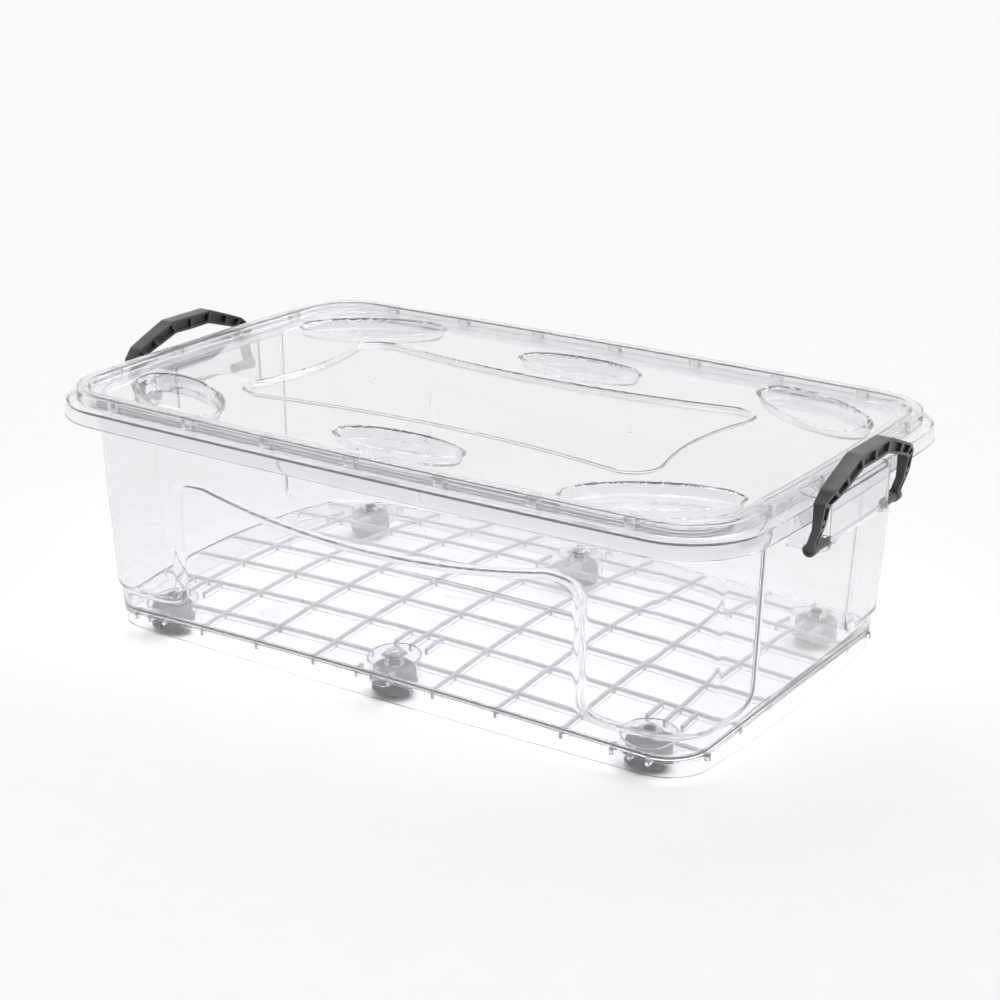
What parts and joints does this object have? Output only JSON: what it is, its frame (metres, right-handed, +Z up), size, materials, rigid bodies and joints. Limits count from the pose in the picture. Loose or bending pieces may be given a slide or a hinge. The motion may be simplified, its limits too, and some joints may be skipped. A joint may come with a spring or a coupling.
{
  "type": "under bed box",
  "caption": "Low clear storage tub on swivel casters with a lift-off lid and a folding handle at each end.",
  "frame": {"origin": "centre of the box's overall outline, on the ground that the casters stand on", "axes": "+X along the box's length towards the right handle, +Y across its width towards the back, +Z up"},
  "size_m": [0.6242, 0.3888, 0.2145],
  "materials": {
    "clear_plastic": "clear moulded polypropylene, glossy",
    "grey_plastic": "dark grey moulded polypropylene, satin",
    "axle_steel": "drawn steel wire"
  },
  "bodies": {
    "tub": {"tub": "clear_plastic"},
    "lid": {"lid": "clear_plastic"},
    "handle_right": {"handle_right": "grey_plastic"},
    "handle_left": {"handle_left": "grey_plastic"},
    "swivel_front_left": {"caster_housing_front_left": "grey_plastic", "caster_axle_front_left": "axle_steel"},
    "wheel_front_left": {"caster_wheel_front_left": "grey_plastic"},
    "swivel_front_middle": {"caster_housing_front_middle": "grey_plastic", "caster_axle_front_middle": "axle_steel"},
    "wheel_front_middle": {"caster_wheel_front_middle": "grey_plastic"},
    "swivel_front_right": {"caster_housing_front_right": "grey_plastic", "caster_axle_front_right": "axle_steel"},
    "wheel_front_right": {"caster_wheel_front_right": "grey_plastic"},
    "swivel_back_left": {"caster_housing_back_left": "grey_plastic", "caster_axle_back_left": "axle_steel"},
    "wheel_back_left": {"caster_wheel_back_left": "grey_plastic"},
    "swivel_back_middle": {"caster_housing_back_middle": "grey_plastic", "caster_axle_back_middle": "axle_steel"},
    "wheel_back_middle": {"caster_wheel_back_middle": "grey_plastic"},
    "swivel_back_right": {"caster_housing_back_right": "grey_plastic", "caster_axle_back_right": "axle_steel"},
    "wheel_back_right": {"caster_wheel_back_right": "grey_plastic"}
  },
  "joints": [
    {"name": "lid_lift", "type": "slide", "parent": "tub", "child": "lid", "axis": [0, 0, 1], "range_m": [0, 0.25]},
    {"name": "handle_right_fold", "type": "hinge", "parent": "tub", "child": "handle_right", "pos_m": [0.2985, 0, 0.1575], "axis": [0, 1, 0], "range_deg": [0, 160]},
    {"name": "handle_left_fold", "type": "hinge", "parent": "tub", "child": "handle_left", "pos_m": [-0.2985, 0, 0.1575], "axis": [0, -1, 0], "range_deg": [0, 160]},
    {"name": "swivel_front_left", "type": "hinge", "parent": "tub", "child": "swivel_front_left", "pos_m": [-0.2152, -0.1299, 0.0215], "axis": [0, 0, 1], "continuous": true},
    {"name": "roll_front_left", "type": "hinge", "parent": "swivel_front_left", "child": "wheel_front_left", "pos_m": [-0.21928, -0.1318, 0.0095], "axis": [0.4226, -0.9063, 0], "continuous": true},
    {"name": "swivel_front_middle", "type": "hinge", "parent": "tub", "child": "swivel_front_middle", "pos_m": [0, -0.1299, 0.0215], "axis": [0, 0, 1], "continuous": true},
    {"name": "roll_front_middle", "type": "hinge", "parent": "swivel_front_middle", "child": "wheel_front_middle", "pos_m": [-0.00016, -0.1344, 0.0095], "axis": [0.9994, -0.0349, 0], "continuous": true},
    {"name": "swivel_front_right", "type": "hinge", "parent": "tub", "child": "swivel_front_right", "pos_m": [0.2152, -0.1299, 0.0215], "axis": [0, 0, 1], "continuous": true},
    {"name": "roll_front_right", "type": "hinge", "parent": "swivel_front_right", "child": "wheel_front_right", "pos_m": [0.21854, -0.13291, 0.0095], "axis": [0.6691, 0.7431, 0], "continuous": true},
    {"name": "swivel_back_left", "type": "hinge", "parent": "tub", "child": "swivel_back_left", "pos_m": [-0.2152, 0.1299, 0.0215], "axis": [0, 0, 1], "continuous": true},
    {"name": "roll_back_left", "type": "hinge", "parent": "swivel_back_left", "child": "wheel_back_left", "pos_m": [-0.21797, 0.12635, 0.0095], "axis": [0.788, -0.6157, 0], "continuous": true},
    {"name": "swivel_back_middle", "type": "hinge", "parent": "tub", "child": "swivel_back_middle", "pos_m": [0, 0.1299, 0.0215], "axis": [0, 0, 1], "continuous": true},
    {"name": "roll_back_middle", "type": "hinge", "parent": "swivel_back_middle", "child": "wheel_back_middle", "pos_m": [0.00117, 0.12555, 0.0095], "axis": [0.9659, 0.2588, 0], "continuous": true},
    {"name": "swivel_back_right", "type": "hinge", "parent": "tub", "child": "swivel_back_right", "pos_m": [0.2152, 0.1299, 0.0215], "axis": [0, 0, 1], "continuous": true},
    {"name": "roll_back_right", "type": "hinge", "parent": "swivel_back_right", "child": "wheel_back_right", "pos_m": [0.21351, 0.12573, 0.0095], "axis": [0.9272, -0.3746, 0], "continuous": true}
  ]
}
